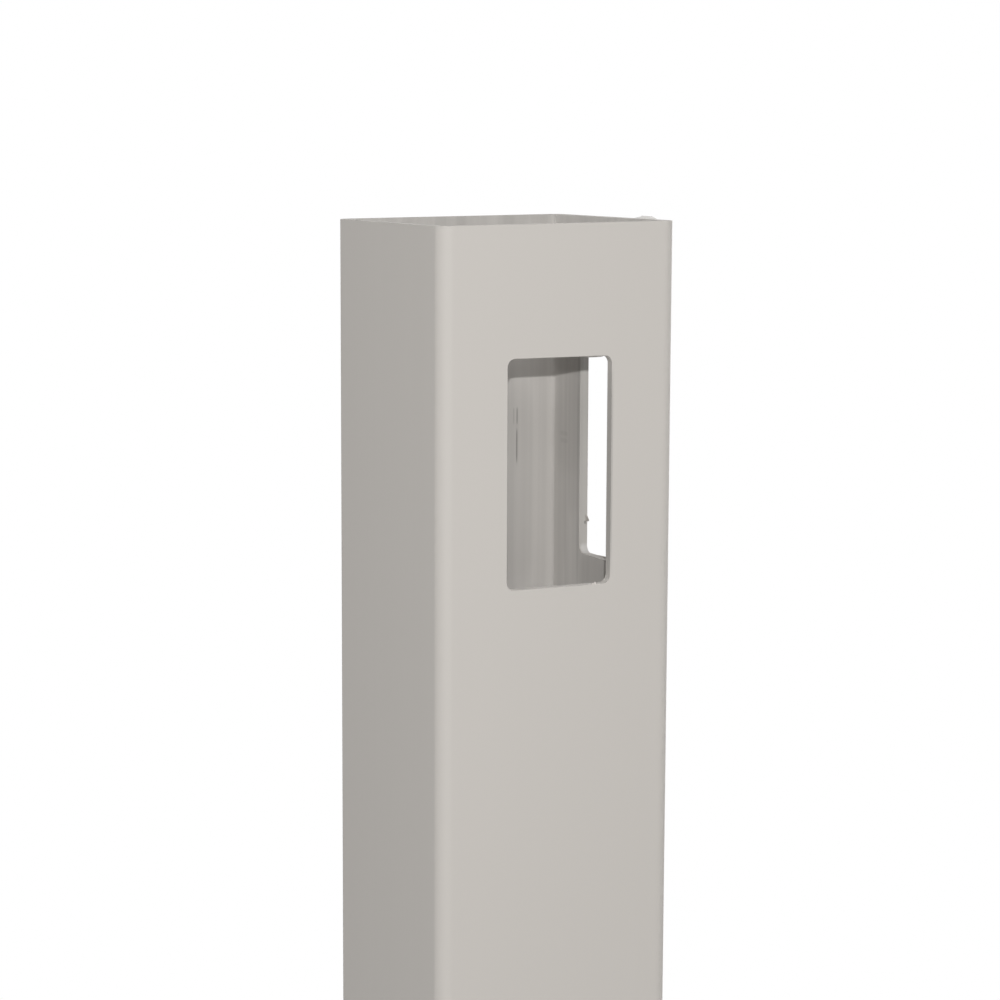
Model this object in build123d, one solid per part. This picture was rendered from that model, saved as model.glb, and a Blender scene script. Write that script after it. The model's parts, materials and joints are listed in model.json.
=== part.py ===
from build123d import *
import os

# Corner fence post of extruded rigid vinyl.
# It is one hollow square extrusion, saw-cut at both ends and left open at the top for a push-on cap.
# Two neighbouring walls, the one facing -Y and the one facing +X, are routed through at each rail,
# so that the rails of two fence runs meet inside the post at a right angle.
# +Z runs up the post, and the origin is the centre of its foot.

# Driving dimensions of the extrusion, in millimetres
post_width = 101.6  # outside of the square section, a nominal 4 in
wall_thickness = 3.81  # even all round, 0.150 in
corner_radius = 5.7  # outside corners
sharpest_core_radius = 0.5  # least inside corner radius that the die leaves
post_length = 1828.8  # saw-cut length, 6 ft

# Driving dimensions of the fence rail and of the hole routed for it
rail_width = 44.45  # across the wall that it enters, 1-3/4 in
rail_height = 88.9  # up the post, 3-1/2 in
rail_clearance = 0.25  # gap all round the rail in its hole
router_radius = 3.175  # hole corners, left by a 1/4 in router bit

# Driving heights of the rails
top_hole_drop = 50.8  # post top down to the top of the upper rail's hole, 2 in
buried_length = 609.6  # foot of the post up to the ground, 2 ft
ground_gap = 76.2  # ground up to the underside of the lower rail, 3 in

# Sizes and places that follow from the driving dimensions
core_width = post_width - 2 * wall_thickness
core_radius = max(corner_radius - wall_thickness, sharpest_core_radius)
hole_width = rail_width + 2 * rail_clearance
hole_height = rail_height + 2 * rail_clearance
wall_middle = (post_width - wall_thickness) / 2
upper_rail_centre = post_length - top_hole_drop - hole_height / 2
lower_rail_centre = buried_length + ground_gap + rail_height / 2

# Turns about +Z that carry the front wall, which faces -Y, onto each routed wall
front_wall_turn = 0
side_wall_turn = 90


def extruded_tube():
    """Square tube of even wall: its outside and its core are rounded squares about one centre."""
    section = RectangleRounded(post_width, post_width, corner_radius)
    section -= RectangleRounded(core_width, core_width, core_radius)
    return extrude(section, post_length)


def rail_cutter(rail_centre, wall_turn):
    """Router path of one rail hole: the rail's outline with its clearance, run through a single wall."""
    outline = Plane.XZ * RectangleRounded(hole_width, hole_height, router_radius)
    through_wall = extrude(outline, wall_thickness, both=True)
    return Rot(0, 0, wall_turn) * Pos(0, -wall_middle, rail_centre) * through_wall


def corner_post():
    """The extrusion with a hole for each rail in each of the two routed walls."""
    post = extruded_tube()
    for rail_centre in (lower_rail_centre, upper_rail_centre):
        for wall_turn in (front_wall_turn, side_wall_turn):
            post -= rail_cutter(rail_centre, wall_turn)
    post.label = "corner_post"
    return post


os.makedirs("parts", exist_ok=True)
export_step(corner_post(), "parts/corner_post.step")
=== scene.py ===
"""Corner fence post of khaki vinyl: a hollow square extrusion, open at the top, with routed rail holes.

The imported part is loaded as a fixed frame. A finely divided skin stands for its solid, with the small
rounding that the saw and the router leave on every cut edge, and torn flakes and burrs of vinyl hang on
those edges. Lengths are in metres, +Z runs up the post, and the routed walls face -Y (front) and
+X (side).
"""

import json
import math

import bpy
import numpy as np
from mathutils import Matrix, Vector


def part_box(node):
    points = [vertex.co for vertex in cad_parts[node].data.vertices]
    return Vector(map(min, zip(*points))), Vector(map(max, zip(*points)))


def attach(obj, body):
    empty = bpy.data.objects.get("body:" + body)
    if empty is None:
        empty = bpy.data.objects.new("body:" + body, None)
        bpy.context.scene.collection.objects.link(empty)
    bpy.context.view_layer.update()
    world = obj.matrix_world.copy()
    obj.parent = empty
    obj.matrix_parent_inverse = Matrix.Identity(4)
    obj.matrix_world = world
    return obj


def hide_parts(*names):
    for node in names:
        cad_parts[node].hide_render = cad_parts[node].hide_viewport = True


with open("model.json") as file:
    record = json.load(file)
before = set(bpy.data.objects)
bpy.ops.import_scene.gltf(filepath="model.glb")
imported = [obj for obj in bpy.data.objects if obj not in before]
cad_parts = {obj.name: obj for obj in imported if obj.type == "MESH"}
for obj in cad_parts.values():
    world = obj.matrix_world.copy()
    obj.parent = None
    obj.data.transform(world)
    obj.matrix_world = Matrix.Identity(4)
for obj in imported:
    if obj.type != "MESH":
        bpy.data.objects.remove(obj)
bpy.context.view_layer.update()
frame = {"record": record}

bl_info = {
    "name": "Vinyl corner fence post",
    "version": (1, 0, 0),
    "blender": (4, 5, 0),
    "location": "3D View > Sidebar > Fence",
    "description": "Builds a hollow vinyl corner post with routed rail holes, and a studio to show it in",
    "category": "Object",
}

MM = 0.001
POST_LOW, POST_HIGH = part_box("corner_post")
RAIL_HEIGHTS = sorted(m["pos_m"][2] for m in frame["record"]["mounts"] if m["name"].startswith("front_"))
ROUTED_WALLS = (0, 1)  # quarter turns about +Z from the front wall to each wall with rail holes

# Scratches, die streaks and painted shade, each darkening the vinyl: place under the middle of the post's
# top, reach along each axis (mm), and strength. Rows noted below as painted shade stand in for shade; the
# others are scratches and streaks.
SCRATCHES_AND_PAINTED_SHADE = (
    # On the back wall, in the bore
    ((29.8, 47.0, -84.3), (0.38, 2.0, 4.0), 0.46),
    ((29.7, 47.0, -97.0), (0.38, 2.0, 8.0), 0.58),
    ((28.2, 47.0, -84.3), (0.38, 2.0, 4.0), 0.22),
    ((29.8, 47.0, -93.0), (0.80, 2.0, 14.0), 0.10),
    # Painted shade: darkens the back wall's lower left, beside the front hole's left side
    ((27.5, 47.0, -114.0), (11.5, 2.0, 52.0), 0.17),
    # Painted shade: darkens the strip of the back wall just under the rim
    ((0.0, 47.0, -1.0), (70.0, 2.0, 10.0), 0.21),
    # On the side wall, in the bore
    # Painted shade: deepens the shadow of the hole's head at the top of the side wall
    ((47.0, 33.0, -57.0), (2.0, 15.0, 10.0), 0.27),
    # Painted shade: darkens the side wall's upper part
    ((47.0, 34.0, -80.0), (2.0, 13.0, 32.0), 0.10),
    # Painted shade: darkens the side wall along its inner corner with the back wall
    ((47.0, 41.5, -118.0), (2.0, 5.0, 55.0), 0.15),
    ((47.0, 36.0, -107.0), (2.0, 1.5, 45.0), 0.12),
    ((47.0, 37.0, -91.5), (2.0, 4.0, 1.1), 0.10),
    ((47.0, 37.0, -94.5), (2.0, 4.0, 1.1), 0.10),
    # Painted shade: a faint darkening over most of the side wall
    ((47.0, 30.0, -104.0), (2.0, 27.0, 48.0), 0.03),
    # Painted shade: darkens the side wall towards the side hole's far edge
    ((47.0, 28.5, -94.0), (2.0, 5.5, 36.0), 0.14),
    # Painted shade: darkens the side wall just under the side hole, towards the front
    ((47.0, 9.0, -148.0), (2.0, 14.0, 9.0), 0.20),
    ((47.0, 24.0, -100.0), (1.5, 1.3, 60.0), 0.20),
    # On the routed edges of the upper holes, all painted shade: on the front hole's right side, round the
    # side hole's flake, and on the side hole's sill
    ((22.45, -48.9, -95.5), (0.95, 2.6, 48.0), 0.50),
    ((50.3, 22.5, -127.6), (1.2, 1.2, 0.8), 0.80),
    ((48.9, 4.0, -140.0), (2.6, 13.0, 1.0), 0.26),
)

# Pale places on the upper side hole's far routed side, given in the same way: painted light up that side,
# and a place in its corner with the sill that the router whitened
PALE_MARKS = (
    # Painted light: lightens the side hole's far routed side
    ((48.9, 22.5, -95.0), (2.6, 0.8, 52.0), 0.22),
    ((49.4, 21.3, -141.0), (2.3, 2.6, 5.2), 0.58),
)
MARK_CORE = 0.05  # sum of fourth powers, in shares of a mark's reach, where its full strength ends

# Torn flakes and burrs: material, edge, start and end along that edge (mm), thickness (mm), and height
# (mm) at places from 0 at the start to 1 at the end
FLAKES = {
    "rim_flake": (
        "torn_vinyl", "rim", -15.0, -35.2, 0.8,
        ((0, 0), (0.2, 0.3), (0.33, 0.9), (0.4, 1.2), (0.78, 1.2), (0.84, 0.95), (1, 0.85))),
    "side_hole_flake": (
        "vinyl", "side_jamb", -123.8, -128.8, 1.0,
        ((0, 0), (0.1, 0.3), (0.5, 2.6), (0.62, 2.4), (0.7, 0.3), (0.9, 0.5), (1, 0))),
    "sill_flake": (
        "vinyl", "front_sill", 14.2, 17.0, 0.9,
        ((0, 0), (0.25, 0.7), (0.45, 0.5), (0.7, 1.0), (1, 0))),
    "side_sill_flake": (
        "vinyl", "side_sill", 16.0, -10.0, 0.5,
        ((0, 0), (0.1, 0.07), (0.33, 0.4), (0.47, 0.56), (0.7, 0.6), (1, 0))),
    "head_flake": (
        "vinyl", "front_head", 2.0, 21.3, 0.5,
        ((0, 0.1), (0.3, 0.4), (0.55, 0.6), (0.65, 0.85), (1, 0.85))),
}
FLAKE_SEAT = 0.5 * MM  # root of a flake on an outer edge, under the skin
BURR_SEAT = 0.25 * MM  # root of a burr on an inner edge, under the bore's face
RIM_FLAKE_MIDDLE = -24 * MM  # place along the rim where its flake takes the rim's height
FLAKE_TIP = 0.4  # share of a flake's width that is left at its tip
FLAKE_END_POWER = 8  # how late a flake narrows towards its ends
FLAKE_END_LEAST = 0.02  # least share of the square of its size that is left there

# Soft boxes: degrees to the left of the front wall's normal, degrees above the horizon, and width (m)
SOFT_BOXES = {"front": (21, 33, 1.5), "low": (15, -8, 1.2), "right": (-135, 8, 2.0)}

# Steps of the grids that the skin, the flakes and the floor are made of
CORNER_STEPS = 16  # round each outside corner
LIP_STEPS = 4  # round each cut edge
HOLE_CORNER_STEPS = 6  # round half of a hole's corner
HOLE_ACROSS_STEPS = 8  # along the straight of a hole's head and sill
HOLE_UP_STEPS = 14  # along the straight of a hole's sides
FLAT_STEPS = 4  # from a hole's surround to the post's corner
CUT_STEPS = 6  # through the wall, on the saw's and the router's cuts
LENGTH_STEP = 40 * MM  # longest step up the plain lengths of the post
FLAKE_STEPS = 40  # along a flake
FLAKE_ROUND_STEPS = 16  # round a flake
FLOOR_RINGS = 8  # from the floor's middle to its rim
FLOOR_SIDES = 96  # round the floor
GRID_SLACK = MM / 100  # rounding allowed when a place is looked up among the grid's places


def length(name, description, default):
    """A property that holds a length in metres."""
    return bpy.props.FloatProperty(
        name=name, description=description, default=default, unit="LENGTH", precision=5)


def camera_length(name, description, default):
    """A property that holds one of the camera's own lengths, in millimetres."""
    return bpy.props.FloatProperty(name=name, description=description, default=default, unit="CAMERA")


def angle(name, description, degrees):
    """A property that holds an angle, given here in degrees."""
    return bpy.props.FloatProperty(
        name=name, description=description, default=math.radians(degrees), subtype="ANGLE", precision=4)


def share(name, description, default):
    """A property that holds a plain number from 0 to 1."""
    return bpy.props.FloatProperty(
        name=name, description=description, default=default, min=0, max=1, subtype="FACTOR")


def power(name, description, watts):
    """A property that holds a lamp's power."""
    return bpy.props.FloatProperty(name=name, description=description, default=watts, min=0, unit="POWER")


def colour(name, description, default):
    """A property that holds a linear colour."""
    return bpy.props.FloatVectorProperty(
        name=name, description=description, default=default, size=3, min=0, max=1, subtype="COLOR")


class PostSizes(bpy.types.PropertyGroup):
    """Sizes of the extrusion, of its rail holes and of its cut edges."""

    width: length("Width", "Outside of the square section", POST_HIGH.x - POST_LOW.x)
    tall: length("Length", "Saw-cut length of the post", POST_HIGH.z - POST_LOW.z)
    wall: length("Wall", "Thickness of the wall, even all round", 3.81 * MM)
    corner: length("Corner", "Radius of the outside corners", 5.7 * MM)
    hole_width: length("Hole width", "Rail hole, across the wall", 44.95 * MM)
    hole_height: length("Hole height", "Rail hole, up the post", 89.4 * MM)
    router: length("Router radius", "Radius of the hole's corners", 3.175 * MM)
    surround: length("Surround", "Skin round a hole that is divided along with it", 6 * MM)
    lip: length("Lip", "Rounding that the saw and the router leave on an edge", 0.12 * MM)
    rim_rise_side: length("Rim rise to the side", "Sloping saw cut: rise across the post to +X", 0.95 * MM)
    rim_rise_back: length("Rim rise to the back", "Sloping saw cut: rise across the post to +Y", -0.61 * MM)


class VinylFinish(bpy.types.PropertyGroup):
    """Colours and surface of the vinyl."""

    skin: colour("Skin", "Outer layer of the extrusion", (0.580, 0.552, 0.518))
    bore: colour("Bore", "Inner layer of the extrusion", (0.660, 0.634, 0.603))
    # The streak colour is also what the painted shade darkens towards
    streak: colour("Streak", "Dark die streaks, scratches and smudges", (0.300, 0.288, 0.272))
    cut: colour("Cut", "Vinyl laid bare by the saw and the router", (0.575, 0.548, 0.514))
    # The torn colour is also what the painted light on the side hole's far routed side lightens towards
    torn: colour("Torn", "Vinyl whitened by tearing", (0.800, 0.790, 0.770))
    dullness: share("Bore dullness", "Streak colour spread evenly over the bore", 0.1)
    streaks: share("Streak strength", "Strength of the die streaks in the bore", 0.6)
    clouds: share("Cloud strength", "Strength of the broad clouds on every face", 0.03)
    roughness: share("Roughness", "Roughness of the skin's gloss", 0.68)
    mattness: share("Mattness", "Roughness of the skin's own colour, seen on slanting faces", 0.32)
    relief: length("Relief", "Height of the draw lines and the cutting marks", 0.04 * MM)
    ragged: length("Raggedness", "Height of the torn vinyl's rags", 0.15 * MM)


class StudioSettings(bpy.types.PropertyGroup):
    """Camera, lamps and floor."""

    lens: camera_length("Lens", "Focal length", 98.109)
    sensor: camera_length("Sensor", "Width of the sensor", 36.0)
    camera_x: length("Camera X", "Camera from the post's axis, to the side", -476.1 * MM)
    camera_y: length("Camera Y", "Camera from the post's axis, to the back", -978.75 * MM)
    camera_up: length("Camera up", "Camera above the post's top", 38.9 * MM)
    yaw: angle("Yaw", "View turned from +Y towards +X", 25.8986)
    pitch: angle("Pitch", "View turned down", 7.9205)
    roll: angle("Roll", "Camera turned about its view", 0.2429)
    key: power("Key", "Thin strip lamp to the front left, just above the post", 10.0)
    key_away: length("Key distance", "Strip lamp in front of the front wall", 1.2)
    key_near: angle("Key near end", "Near end, left of the way past the front hole's left side", 25.5)
    key_far: angle("Key far end", "Far end, measured in the same way", 26.3)
    key_up: angle("Key height", "Strip above the way past the front hole's head", 10.07)
    key_tall: length("Key thickness", "Strip lamp from its lower to its upper edge", 12.5 * MM)
    front: power("Front", "Soft box above the key", 23.7)
    low: power("Low", "Soft box under the key", 10.2)
    right: power("Right", "Soft box to the right, behind", 62.0)
    box_away: length("Box distance", "Soft boxes from the place on the post that they face", 3.0)
    box_aim: length("Box aim", "Height of the place on the post that the soft boxes face", 1.75)
    ambient: share("Ambient", "Level of the white studio that lights the post", 0.2)
    floor: colour("Floor", "Colour of the floor", (0.82, 0.82, 0.81))
    floor_radius: length("Floor radius", "Radius of the round floor", 1.7)
    floor_white: share("Floor white", "Studio white mixed into the floor round the post", 0.35)
    fade_start: share("Fade start", "Share of the radius where the floor starts to turn white", 0.35)
    fade_end: share("Fade end", "Share of the radius where the floor is white", 0.97)


# Shapes


def wall_frames():
    """Direction along each wall, anticlockwise from above, and its outward normal: the front wall's,
    turned by quarter turns. Shape (wall, along or out, xy)."""
    turn = np.arange(4) * np.pi / 2
    along = np.stack([np.cos(turn), np.sin(turn)], 1)
    out = np.stack([np.sin(turn), -np.cos(turn)], 1)
    return np.stack([along, out], 1)


def hole_half(sizes):
    """Half of a hole's width and height."""
    return np.array([sizes.hole_width, sizes.hole_height]) / 2


def hole_stations(half, sizes, straight_steps):
    """Places along one side of a hole's surround, from its middle line: even steps beside the hole's
    straight edge, then the places that rays from the centre of its rounded corner reach at even angles
    up to 45 degrees."""
    straight = half - sizes.router
    ray = np.linspace(0, np.pi / 4, HOLE_CORNER_STEPS + 1)[1:]
    beyond = straight + (sizes.router + sizes.surround) * np.tan(ray)
    return np.concatenate([-beyond[::-1], np.linspace(-straight, straight, straight_steps + 1), beyond])


def wall_stations(sizes):
    """Places along the flat of a wall: a hole's stations, then even steps from them to the rounded
    corners."""
    hole = hole_stations(hole_half(sizes)[0], sizes, HOLE_ACROSS_STEPS)
    outer = np.linspace(hole[-1], sizes.width / 2 - sizes.corner, FLAT_STEPS + 1)[1:]
    return np.concatenate([-outer[::-1], hole, outer])


def height_stations(sizes):
    """Heights from the foot's lip to the rim's: each hole's stations, with even steps of at most
    LENGTH_STEP between them."""
    hole = hole_stations(hole_half(sizes)[1], sizes, HOLE_UP_STEPS)
    rows = [np.array([sizes.lip])]
    for rail in RAIL_HEIGHTS:
        rows += [plain_steps(rows[-1][-1], rail + hole[0]), rail + hole]
    rows += [plain_steps(rows[-1][-1], sizes.tall - sizes.lip), np.array([sizes.tall - sizes.lip])]
    return np.concatenate(rows)


def plain_steps(low, high):
    """Heights strictly between two heights, in even steps of at most LENGTH_STEP."""
    count = math.ceil((high - low) / LENGTH_STEP)
    return np.linspace(low, high, count + 1)[1:-1]


def section_loop(stations, sizes):
    """Closed loop round the outside: for each wall in turn, the wall's stations and then an even arc
    round the corner. Returns the points and the outward normals, as xy rows."""
    half = sizes.width / 2
    turn = np.linspace(0, np.pi / 2, CORNER_STEPS + 1)[1:-1]
    arc = np.stack([np.sin(turn), np.cos(turn)], 1)
    flat = np.stack([stations, np.full(len(stations), half)], 1)
    points = np.concatenate([flat, half - sizes.corner + sizes.corner * arc])
    normals = np.concatenate([np.tile([0.0, 1.0], (len(stations), 1)), arc])
    frames = wall_frames()
    return (points @ frames).reshape(-1, 2), (normals @ frames).reshape(-1, 2)


def lip_arc(depth, height, turn, lip):
    """Arc of the lip's radius about a depth and a height, facing each turn from out of the wall (0)
    through up (a quarter turn). Rows of depth under the skin, height, and the normal's share out of the
    wall and up."""
    out, up = np.cos(turn), np.sin(turn)
    return np.stack([depth - lip * out, height + lip * up, out, up], 1)


def length_profile(heights, sizes):
    """Closed profile through the wall: up the outside, over the rim, down the bore and under the foot,
    with a quarter arc of the lip's radius at each of the four edges. Rows as in lip_arc."""
    lip, wall, tall = sizes.lip, sizes.wall, sizes.tall
    turn = np.linspace(0, np.pi / 2, LIP_STEPS + 1)
    across = np.linspace(lip, wall - lip, CUT_STEPS + 1)[1:-1]
    level = np.ones(len(across))
    upright = np.ones(len(heights))
    outside = np.stack([0 * upright, heights, upright, 0 * upright], 1)
    rim_out = lip_arc(lip, tall - lip, turn[1:], lip)
    rim = np.stack([across, tall * level, 0 * level, level], 1)
    rim_in = lip_arc(wall - lip, tall - lip, np.pi / 2 + turn[:-1], lip)
    bore = np.stack([wall * upright, heights[::-1], -upright, 0 * upright], 1)
    foot_in = lip_arc(wall - lip, lip, np.pi + turn[1:], lip)
    foot = np.stack([across[::-1], 0 * level, 0 * level, -level], 1)
    foot_out = lip_arc(lip, lip, 3 * np.pi / 2 + turn[:-1], lip)
    return np.concatenate([outside, rim_out, rim, rim_in, bore, foot_in, foot, foot_out])


def hole_profile(sizes):
    """Profile of a hole's edge, from the outer skin to the bore: a quarter arc, straight through, a
    quarter arc. It is worked out with the hole as up, and the height then turned into the distance from
    the hole's core line. Rows of depth under the skin, that distance, and the normal's share out of the
    wall and towards the hole."""
    lip, wall, edge = sizes.lip, sizes.wall, sizes.router
    turn = np.linspace(0, np.pi / 2, LIP_STEPS + 1)
    through = np.linspace(lip, wall - lip, CUT_STEPS + 1)[1:-1]
    level = np.ones(len(through))
    outer = lip_arc(lip, -edge - lip, turn, lip)
    middle = np.stack([through, -edge * level, 0 * level, level], 1)
    inner = lip_arc(wall - lip, -edge - lip, np.pi / 2 + turn, lip)
    return np.concatenate([outer, middle, inner]) * (1, -1, 1, 1)


def grid_quads(rows, close_rows, close_columns):
    """Faces of a grid of vertex numbers, four to a face, wrapped round where it closes."""
    if close_rows:
        rows = np.concatenate([rows, rows[:1]])
    if close_columns:
        rows = np.concatenate([rows, rows[:, :1]], 1)
    return np.stack([rows[:-1, :-1], rows[1:, :-1], rows[1:, 1:], rows[:-1, 1:]], -1)


def window_loop(left, right, low, high):
    """Steps along and up round a window of the grid, anticlockwise seen from outside."""
    along = np.arange(left, right)
    up = np.arange(low, high)
    column = np.concatenate([along, np.full(len(up), right), along[::-1] + 1, np.full(len(up), left)])
    row = np.concatenate([np.full(len(along), low), up, np.full(len(along), high), up[::-1] + 1])
    return column, row


def hole_band(window, wall_frame, sizes):
    """Band through the wall round a hole, with heights from the hole's middle.

    A point of it lies on the line from the hole's core rectangle to a point of the window round the
    hole, at the distance and the depth that the hole's profile gives. window has rows of places along
    the wall and up. Returns points, normals and tones, by step through the wall and place round the
    window."""
    along, out = wall_frame
    depth, distance, outward, inward = hole_profile(sizes).T[..., None, None]
    core = hole_half(sizes) - sizes.router
    nearest = np.clip(window, -core, core)
    away = (window - nearest) / np.linalg.norm(window - nearest, axis=1, keepdims=True)
    spot = nearest + distance * away
    points = np.concatenate([spot[..., :1] * along + (sizes.width / 2 - depth) * out, spot[..., 1:]], -1)
    normals = inward * np.concatenate([-away[:, :1] * along, -away[:, 1:]], 1)
    normals[..., :2] += outward * out
    tones = np.concatenate([(outward < 0) * outward ** 2, 0 * depth, inward ** 2, depth / sizes.wall], -1)
    return points, normals, np.repeat(tones, len(window), 1)


def post_surface(sizes):
    """The whole skin as one closed surface.

    A vertex of the grid is the section's point, moved in along its normal by the profile's depth and up
    to the profile's height. Each hole takes a window out of the outer grid and the bore's grid, and a
    band of quads joins the two windows through the wall. Returns points, faces, normals and tones: how
    much of each vertex is bore, sawn and routed, and its depth in the wall."""
    stations = wall_stations(sizes)
    heights = height_stations(sizes)
    loop, loop_normals = section_loop(stations, sizes)
    depth, height, outward, upward = length_profile(heights, sizes).T[..., None]
    spot = loop[:, None] - depth * loop_normals[:, None]
    level = np.zeros((*spot.shape[:2], 1))
    points = np.concatenate([spot, level + height], -1)
    normals = np.concatenate([outward * loop_normals[:, None], level + upward], -1)
    tones = np.concatenate([(outward < 0) * outward ** 2, upward ** 2, 0 * depth, depth / sizes.wall], -1)
    blocks = [(points, normals, level + tones)]

    numbers = np.arange(level.size).reshape(spot.shape[:2])
    quads = grid_quads(numbers, True, True)
    kept = np.ones(quads.shape[:2], bool)
    bore_row = np.argmax(outward == -1) + len(heights) - 1 - np.arange(len(heights))
    across, up = (hole_half(sizes) + sizes.surround)[:, None] * np.array([-1, 1]) - GRID_SLACK
    left, right = np.searchsorted(stations, across)
    bands = []
    count = numbers.size
    for turn in ROUTED_WALLS:
        first = turn * len(loop) // 4
        for rail in RAIL_HEIGHTS:
            low, high = np.searchsorted(heights, rail + up)
            kept[first + left:first + right, low:high] = False
            kept[first + left:first + right, bore_row[high]:bore_row[low]] = False
            column, row = window_loop(left, right, low, high)
            window = np.stack([stations[column], heights[row] - rail], 1)
            ring, ring_normals, ring_tones = hole_band(window, wall_frames()[turn], sizes)
            blocks.append((ring + (0, 0, rail), ring_normals, ring_tones))
            ring_numbers = count + np.arange(ring[..., 0].size).reshape(ring.shape[:2])
            count += ring_numbers.size
            outer = numbers[first + column, row]
            inner = numbers[first + column, bore_row[row]]
            band = np.concatenate([outer[None], ring_numbers, inner[None]])
            bands.append(grid_quads(band.T, True, False).reshape(-1, 4))
    points, normals, tones = (
        np.concatenate([block.reshape(-1, block.shape[-1]) for block in kind]) for kind in zip(*blocks))
    return slope_rim(points, sizes), [quads[kept], *bands], normals, tones


def slope_rim(points, sizes):
    """Tilts the rim as the saw left it: above the upper holes' surround, a point moves up by the rim's
    rise at its place, fading smoothly to nothing at the surround."""
    fixed = RAIL_HEIGHTS[-1] + sizes.hole_height / 2 + sizes.surround
    share_up = np.clip((points[:, 2] - fixed) / (sizes.tall - fixed), 0, 1)
    rise = (sizes.rim_rise_side * points[:, 0] + sizes.rim_rise_back * points[:, 1]) / sizes.width
    points[:, 2] += rise * share_up ** 2 * (3 - 2 * share_up)
    return points


def flake_edges(sizes):
    """Edges that flakes and burrs hang on: the place that they are measured from, the way along the
    edge, and the way that they stand up from it."""
    skin = sizes.width / 2 - FLAKE_SEAT
    bore = sizes.width / 2 - sizes.wall + BURR_SEAT
    rim = slope_rim(np.array([[skin, RIM_FLAKE_MIDDLE, sizes.tall]]), sizes)[0, 2]
    jamb, half_height = hole_half(sizes)
    sill = RAIL_HEIGHTS[-1] - half_height
    head = RAIL_HEIGHTS[-1] + half_height
    return {
        "rim": ((skin, 0, rim), (0, 1, 0), (0, 0, 1)),
        "side_jamb": ((skin, jamb, sizes.tall), (0, 0, 1), (0, -1, 0)),
        "side_sill": ((skin, 0, sill), (0, 1, 0), (0, 0, 1)),
        "front_sill": ((0, -skin, sill), (1, 0, 0), (0, 0, 1)),
        "front_head": ((0, -bore, head), (1, 0, 0), (0, 0, -1)),
    }


def flake_surface(root, rise, outline, thickness):
    """A torn flake of vinyl on an edge.

    root is the two end points of the root, rise is the way that the flake stands up from it, and the
    flake is thick across both. The outline gives its height at places along the root, from 0 at one end
    to 1 at the other, with straight lines between them. Round it, the section is a drop that is widest
    near the root and thin at the tip. The foot is sunk into the edge by half the flake's thickness, and
    narrow ends close it."""
    start, end = root
    across = np.cross(end - start, rise) / np.linalg.norm(end - start)
    place = np.linspace(0, 1, FLAKE_STEPS + 1)
    turn = np.arange(FLAKE_ROUND_STEPS) * 2 * np.pi / FLAKE_ROUND_STEPS
    height = np.interp(place, *np.array(outline).T) * MM
    narrowed = np.sqrt(np.clip(1 - (2 * place - 1) ** FLAKE_END_POWER, FLAKE_END_LEAST, 1))[:, None]
    sunk = thickness / 2
    lift = (1 - np.cos(turn)) / 2
    up = narrowed * (height + sunk)[:, None] * lift - sunk
    side = narrowed * thickness / 2 * np.sin(turn) * (1 - (1 - FLAKE_TIP) * lift)
    spine = start + place[:, None] * (end - start)
    points = spine[:, None] + up[..., None] * rise + side[..., None] * across
    numbers = np.arange(points[..., 0].size).reshape(points.shape[:2])
    faces = [grid_quads(numbers, False, True).reshape(-1, 4), numbers[:1], numbers[-1:, ::-1]]
    return points.reshape(-1, 3), faces


def new_piece(name, points, faces, material, normals=None, tones=None):
    """A mesh object at the origin that rides on the post's body. Its faces come in arrays of equal
    faces, and the vertices that no face uses are left out."""
    used = np.unique(np.concatenate([block.ravel() for block in faces]))
    corners = [face for block in faces for face in np.searchsorted(used, block).tolist()]
    mesh = bpy.data.meshes.new(name)
    mesh.from_pydata(points[used].tolist(), [], corners)
    mesh.shade_smooth()
    if tones is not None:
        for column, label in enumerate(("bore", "sawn", "routed", "depth")):
            mesh.attributes.new(label, "FLOAT", "POINT").data.foreach_set(
                "value", tones[used, column].astype(np.float32))
    if normals is not None:
        mesh.normals_split_custom_set_from_vertices(normals[used].tolist())
    mesh.materials.append(material)
    piece = bpy.data.objects.new(name, mesh)
    bpy.context.scene.collection.objects.link(piece)
    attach(piece, "root")
    return piece


# Materials


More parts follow.
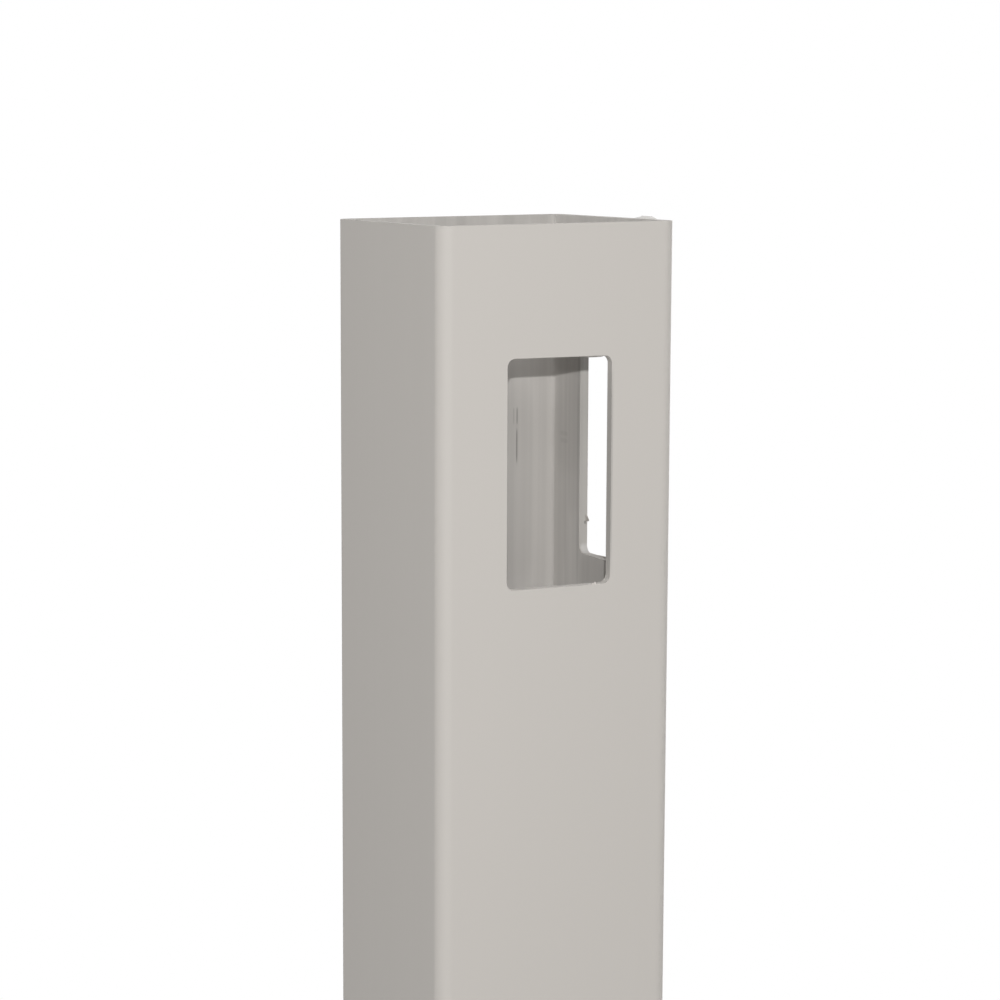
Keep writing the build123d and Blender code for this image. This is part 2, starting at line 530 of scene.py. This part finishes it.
class Wire:
    """An output socket that can stand in a Python expression: each operator adds the Math node that
    does it."""

    def __init__(self, tree, socket=None):
        self.tree = tree
        self.socket = socket

    def node(self, kind, settings=None, inputs=None, output=0):
        """Adds a node: its settings first, then the values or wires of its sockets. Returns one of its
        outputs, if it has any."""
        made = self.tree.nodes.new(kind)
        for key, value in (settings or {}).items():
            setattr(made, key, value)
        for key, value in (inputs or {}).items():
            if isinstance(value, Wire):
                self.tree.links.new(value.socket, made.inputs[key])
            else:
                made.inputs[key].default_value = value
        return Wire(self.tree, made.outputs[output]) if made.outputs else None

    def math(self, operation, *terms):
        """A Math node with that operation."""
        return self.node("ShaderNodeMath", {"operation": operation}, dict(enumerate(terms)))

    def __add__(self, other):
        return self.math("ADD", self, other)

    def __sub__(self, other):
        return self.math("SUBTRACT", self, other)

    def __rsub__(self, other):
        return self.math("SUBTRACT", other, self)

    def __mul__(self, other):
        return self.math("MULTIPLY", self, other)

    __radd__ = __add__
    __rmul__ = __mul__

    def ramp(self, low, high):
        """0 below low, 1 above high and smooth between; high may be the lower one."""
        return self.node("ShaderNodeMapRange", {"interpolation_type": "SMOOTHSTEP"}, {
            "Value": self, "From Min": low, "From Max": high}, "Result")

    def scaled(self, by):
        """A vector, stretched along each axis."""
        return self.node("ShaderNodeVectorMath", {"operation": "MULTIPLY"}, {0: self, 1: by})

    def noise(self, cells, detail):
        """Noise about 0, mostly between -0.5 and 0.5, with that many cells to a metre along each axis."""
        return self.node("ShaderNodeTexNoise", {}, {
            "Vector": self.scaled(cells), "Scale": 1.0, "Detail": detail}, "Fac") - 0.5

    def blend(self, first, second):
        """One colour turned into another by this amount."""
        return self.node("ShaderNodeMix", {"data_type": "RGBA"}, {0: self, 6: first, 7: second}, 2)

    def blob(self, centre, reach):
        """1 near a place, falling smoothly to 0 at the rim of a rounded box about it, where the fourth
        powers of the distances, each as a share of its reach, add up to 1."""
        away = self.node("ShaderNodeVectorMath", {"operation": "SUBTRACT"}, {0: self, 1: centre})
        away = away.scaled([1 / r for r in reach])
        square = away.scaled(away)
        powers = self.node(
            "ShaderNodeVectorMath", {"operation": "DOT_PRODUCT"}, {0: square, 1: square}, "Value")
        return powers.ramp(1.0, MARK_CORE)


def new_material(name):
    """A material with an empty tree. Returns it with a wire that adds nodes to that tree."""
    material = bpy.data.materials.new(name)
    material.use_nodes = True
    material.node_tree.nodes.clear()
    return material, Wire(material.node_tree)


def rgba(value):
    """A linear colour with full alpha."""
    return (*value, 1.0)


def finish_shader(shader):
    """Sends a shader to the material's output."""
    shader.node("ShaderNodeOutputMaterial", {}, {"Surface": shader})


def vinyl_material(finish, sizes):
    """Extruded vinyl: a satin skin with faint draw lines up the post, streaks and scratches in the bore,
    and cut faces with faint layers and the marks of the saw and of the router. Painted shade darkens parts
    of the bore and of the routed edges, and painted light brightens the side hole's far routed side."""
    material, tree = new_material("vinyl")
    place = tree.node("ShaderNodeTexCoord", output="Object")
    bore, sawn, routed, depth = (
        tree.node("ShaderNodeAttribute", {"attribute_name": label}, {}, "Fac")
        for label in ("bore", "sawn", "routed", "depth"))
    cut = sawn.math("MAXIMUM", sawn, routed)
    cloud = place.noise(cells=(14, 14, 9), detail=3.0)
    draw = place.noise(cells=(420, 420, 1.6), detail=3.0)
    grain = place.noise(cells=(1500, 1500, 1500), detail=1.0)
    streak = place.noise(cells=(190, 190, 0.9), detail=4.0)
    chatter = place.noise(cells=(90, 90, 700), detail=1.0)
    layer = tree.node("ShaderNodeTexNoise", {"noise_dimensions": "1D"}, {
        "W": depth, "Scale": 7.0, "Detail": 2.0}) - 0.5

    base = bore.blend(rgba(finish.skin), rgba(finish.bore))
    base = (cut * (0.9 + layer * 0.4)).blend(base, rgba(finish.cut))
    # Pale marks turn the base towards the torn colour: a corner the router whitened, and painted light on
    # the side hole's far routed side
    base = marked(place, PALE_MARKS, sizes).blend(base, rgba(finish.torn))
    shade = bore * (finish.dullness + streak * finish.streaks) + cloud * finish.clouds
    # Dark marks turn the base towards the streak colour: scratches, and painted shade in the bore and on
    # the routed edges
    base = (shade + marked(place, SCRATCHES_AND_PAINTED_SHADE, sizes)).blend(base, rgba(finish.streak))
    rough = finish.roughness + draw * 0.12 + grain * 0.1 + cut * 0.2
    relief = draw * (0.4 + bore) + grain * 0.25 + sawn * chatter * 2.0 + routed * chatter * 2.0
    bump = tree.node("ShaderNodeBump", {}, {"Strength": 0.5, "Distance": finish.relief, "Height": relief})
    finish_shader(tree.node("ShaderNodeBsdfPrincipled", {}, {
        "Base Color": base, "Roughness": rough, "Diffuse Roughness": finish.mattness, "Normal": bump}))
    return material


def marked(place, marks, sizes):
    """How strongly a set of marks covers a place: the sum of their blobs, each times its strength."""
    cover = 0
    for centre, reach, strength in marks:
        under_top = Vector(centre) * MM + Vector((0, 0, sizes.tall))
        cover = cover + place.blob(under_top, Vector(reach) * MM) * strength
    return cover


def torn_material(finish):
    """Torn vinyl: whitened, dull and finely ragged."""
    material, tree = new_material("torn_vinyl")
    place = tree.node("ShaderNodeTexCoord", output="Object")
    rag = place.noise(cells=(900, 900, 900), detail=3.0)
    base = (rag.ramp(-0.3, 0.4) * 0.25).blend(rgba(finish.torn), rgba(finish.skin))
    bump = tree.node("ShaderNodeBump", {}, {"Strength": 0.6, "Distance": finish.ragged, "Height": rag})
    finish_shader(tree.node("ShaderNodeBsdfPrincipled", {}, {
        "Base Color": base, "Roughness": 0.8, "Diffuse Roughness": 1.0, "Normal": bump}))
    return material


def floor_material(studio):
    """Pale floor that fades to the white of the studio towards its rim, and keeps the post's shadow."""
    material, tree = new_material("studio_floor")
    place = tree.node("ShaderNodeTexCoord", output="Object")
    away = tree.node("ShaderNodeVectorMath", {"operation": "LENGTH"}, {0: place}, "Value")
    fade = away.ramp(studio.fade_start * studio.floor_radius, studio.fade_end * studio.floor_radius)
    white = seen_rays(tree) * (studio.floor_white + (1 - studio.floor_white) * fade)
    matte = tree.node("ShaderNodeBsdfDiffuse", {}, {"Color": rgba(studio.floor)})
    glow = tree.node("ShaderNodeEmission", {}, {"Color": (1, 1, 1, 1), "Strength": 1.0})
    finish_shader(tree.node("ShaderNodeMixShader", {}, {0: white, 1: matte, 2: glow}))
    return material


def seen_rays(tree):
    """1 for a ray that shows the studio: from the camera, from a gloss or through glass."""
    camera, gloss, glass = (
        tree.node("ShaderNodeLightPath", output=ray)
        for ray in ("Is Camera Ray", "Is Glossy Ray", "Is Transmission Ray"))
    return camera.math("MAXIMUM", camera.math("MAXIMUM", camera, gloss), glass)


# Operators


class FENCE_OT_post(bpy.types.Operator):
    """Builds the post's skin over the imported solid"""

    bl_idname = "fence.post"
    bl_label = "Post"

    def execute(self, context):
        sizes = context.scene.post_sizes
        points, faces, normals, tones = post_surface(sizes)
        material = vinyl_material(context.scene.vinyl_finish, sizes)
        skin = new_piece("post_skin", points, faces, material, normals, tones)
        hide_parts("corner_post")
        return {"FINISHED"}


class FENCE_OT_flakes(bpy.types.Operator):
    """Hangs the torn flakes and burrs on the cut edges"""

    bl_idname = "fence.flakes"
    bl_label = "Torn flakes"

    def execute(self, context):
        edges = flake_edges(context.scene.post_sizes)
        torn_material(context.scene.vinyl_finish)
        for name, (material, edge, start, end, thickness, outline) in FLAKES.items():
            place, along, rise = np.array(edges[edge])
            root = place + np.outer((start, end), along) * MM
            points, faces = flake_surface(root, rise, outline, thickness * MM)
            new_piece(name, points, faces, bpy.data.materials[material])
        return {"FINISHED"}


class FENCE_OT_studio(bpy.types.Operator):
    """Lays the floor, hangs the lamps and sets the camera"""

    bl_idname = "fence.studio"
    bl_label = "Studio"

    def execute(self, context):
        scene = context.scene
        studio = scene.studio
        lay_floor(studio)
        light_world(scene, studio)
        hang_lamps(scene, studio)
        set_camera(scene, studio)
        scene.view_settings.view_transform = "Standard"
        return {"FINISHED"}


def lay_floor(studio):
    """A flat disc under the post: rings of equal angles at even radii about its middle."""
    radius = np.linspace(0, studio.floor_radius, FLOOR_RINGS + 1)[1:]
    turn = np.arange(FLOOR_SIDES) * 2 * np.pi / FLOOR_SIDES
    ring = np.stack([np.cos(turn), np.sin(turn), 0 * turn], 1)
    points = np.concatenate([np.zeros((1, 3)), (radius[:, None, None] * ring).reshape(-1, 3)])
    numbers = 1 + np.arange(FLOOR_RINGS * FLOOR_SIDES).reshape(FLOOR_RINGS, FLOOR_SIDES)
    quads = grid_quads(numbers, False, True).reshape(-1, 4)
    middle = np.stack([np.zeros(FLOOR_SIDES, int), numbers[0], np.roll(numbers[0], -1)], 1)
    mesh = bpy.data.meshes.new("floor")
    mesh.from_pydata(points.tolist(), [], middle.tolist() + quads.tolist())
    mesh.materials.append(floor_material(studio))
    floor = bpy.data.objects.new("floor", mesh)
    bpy.context.scene.collection.objects.link(floor)


def light_world(scene, studio):
    """A white studio all round: white where it is seen, at the ambient level where it lights the post."""
    world = bpy.data.worlds.new("studio")
    world.use_nodes = True
    world.node_tree.nodes.clear()
    tree = Wire(world.node_tree)
    level = studio.ambient + (1 - studio.ambient) * seen_rays(tree)
    light = tree.node("ShaderNodeBackground", {}, {"Color": (1, 1, 1, 1), "Strength": level})
    light.node("ShaderNodeOutputWorld", {}, {"Surface": light})
    scene.world = world


def hang_lamps(scene, studio):
    """A thin strip as the key, level with the front wall, and soft boxes round the post.

    The strip's place is set by the shadow that it throws into the holes: its distance times the
    tangents of its angles, from the upper front hole's left side and head. Each box hangs along its own
    direction from the place that the boxes face."""
    sizes = scene.post_sizes
    near = studio.key_away * math.tan(studio.key_near)
    far = studio.key_away * math.tan(studio.key_far)
    place = Vector((
        -sizes.hole_width / 2 - (near + far) / 2,
        -sizes.width / 2 - studio.key_away,
        RAIL_HEIGHTS[-1] + sizes.hole_height / 2 + studio.key_away * math.tan(studio.key_up)))
    place_lamp(scene, "key", studio.key, (far - near, studio.key_tall), place, Vector((0, -1, 0)))
    faced = Vector((0, 0, studio.box_aim))
    for name, (left, up, size) in SOFT_BOXES.items():
        turn, rise = math.radians(left), math.radians(up)
        source = Vector((
            -math.sin(turn) * math.cos(rise), -math.cos(turn) * math.cos(rise), math.sin(rise)))
        place = source * studio.box_away + faced
        place_lamp(scene, name, getattr(studio, name), (size, size), place, source)


def place_lamp(scene, name, watts, size, place, source):
    """Stands a flat lamp at a place, shining away from the direction of its source."""
    lamp = bpy.data.lights.new(name, "AREA")
    lamp.energy = watts
    lamp.shape = "RECTANGLE"
    lamp.size, lamp.size_y = size
    holder = bpy.data.objects.new(name, lamp)
    holder.location = place
    holder.rotation_mode = "QUATERNION"
    holder.rotation_quaternion = source.to_track_quat("Z", "Y")
    holder.visible_camera = False
    scene.collection.objects.link(holder)


def set_camera(scene, studio):
    """A level camera looking along +Y, turned by the yaw, the pitch and the roll, in that order."""
    lens = bpy.data.cameras.new("camera")
    lens.sensor_width = studio.sensor
    lens.lens = studio.lens
    camera = bpy.data.objects.new("camera", lens)
    turned = (
        Matrix.Rotation(-studio.yaw, 4, "Z")
        @ Matrix.Rotation(math.pi / 2 - studio.pitch, 4, "X")
        @ Matrix.Rotation(studio.roll, 4, "Z"))
    place = Vector((studio.camera_x, studio.camera_y, POST_HIGH.z + studio.camera_up))
    camera.matrix_world = Matrix.Translation(place) @ turned
    scene.collection.objects.link(camera)
    scene.camera = camera


class FENCE_PT_sidebar(bpy.types.Panel):
    """Lists the post's operators and settings"""

    bl_idname = "FENCE_PT_sidebar"
    bl_label = "Corner fence post"
    bl_space_type = "VIEW_3D"
    bl_region_type = "UI"
    bl_category = "Fence"

    def draw(self, context):
        for operator in OPERATORS:
            self.layout.operator(operator.bl_idname)
        for name, group in SETTINGS.items():
            box = self.layout.box()
            for setting in group.__annotations__:
                box.prop(getattr(context.scene, name), setting)


OPERATORS = (FENCE_OT_post, FENCE_OT_flakes, FENCE_OT_studio)
SETTINGS = {"post_sizes": PostSizes, "vinyl_finish": VinylFinish, "studio": StudioSettings}
CLASSES = (*SETTINGS.values(), *OPERATORS, FENCE_PT_sidebar)


def register():
    for made in CLASSES:
        bpy.utils.register_class(made)
    for name, group in SETTINGS.items():
        setattr(bpy.types.Scene, name, bpy.props.PointerProperty(type=group))


def unregister():
    for name in SETTINGS:
        delattr(bpy.types.Scene, name)
    for made in reversed(CLASSES):
        bpy.utils.unregister_class(made)


def main():
    register()
    bpy.ops.fence.post()
    bpy.ops.fence.flakes()
    bpy.ops.fence.studio()


if __name__ == "__main__":
    main()
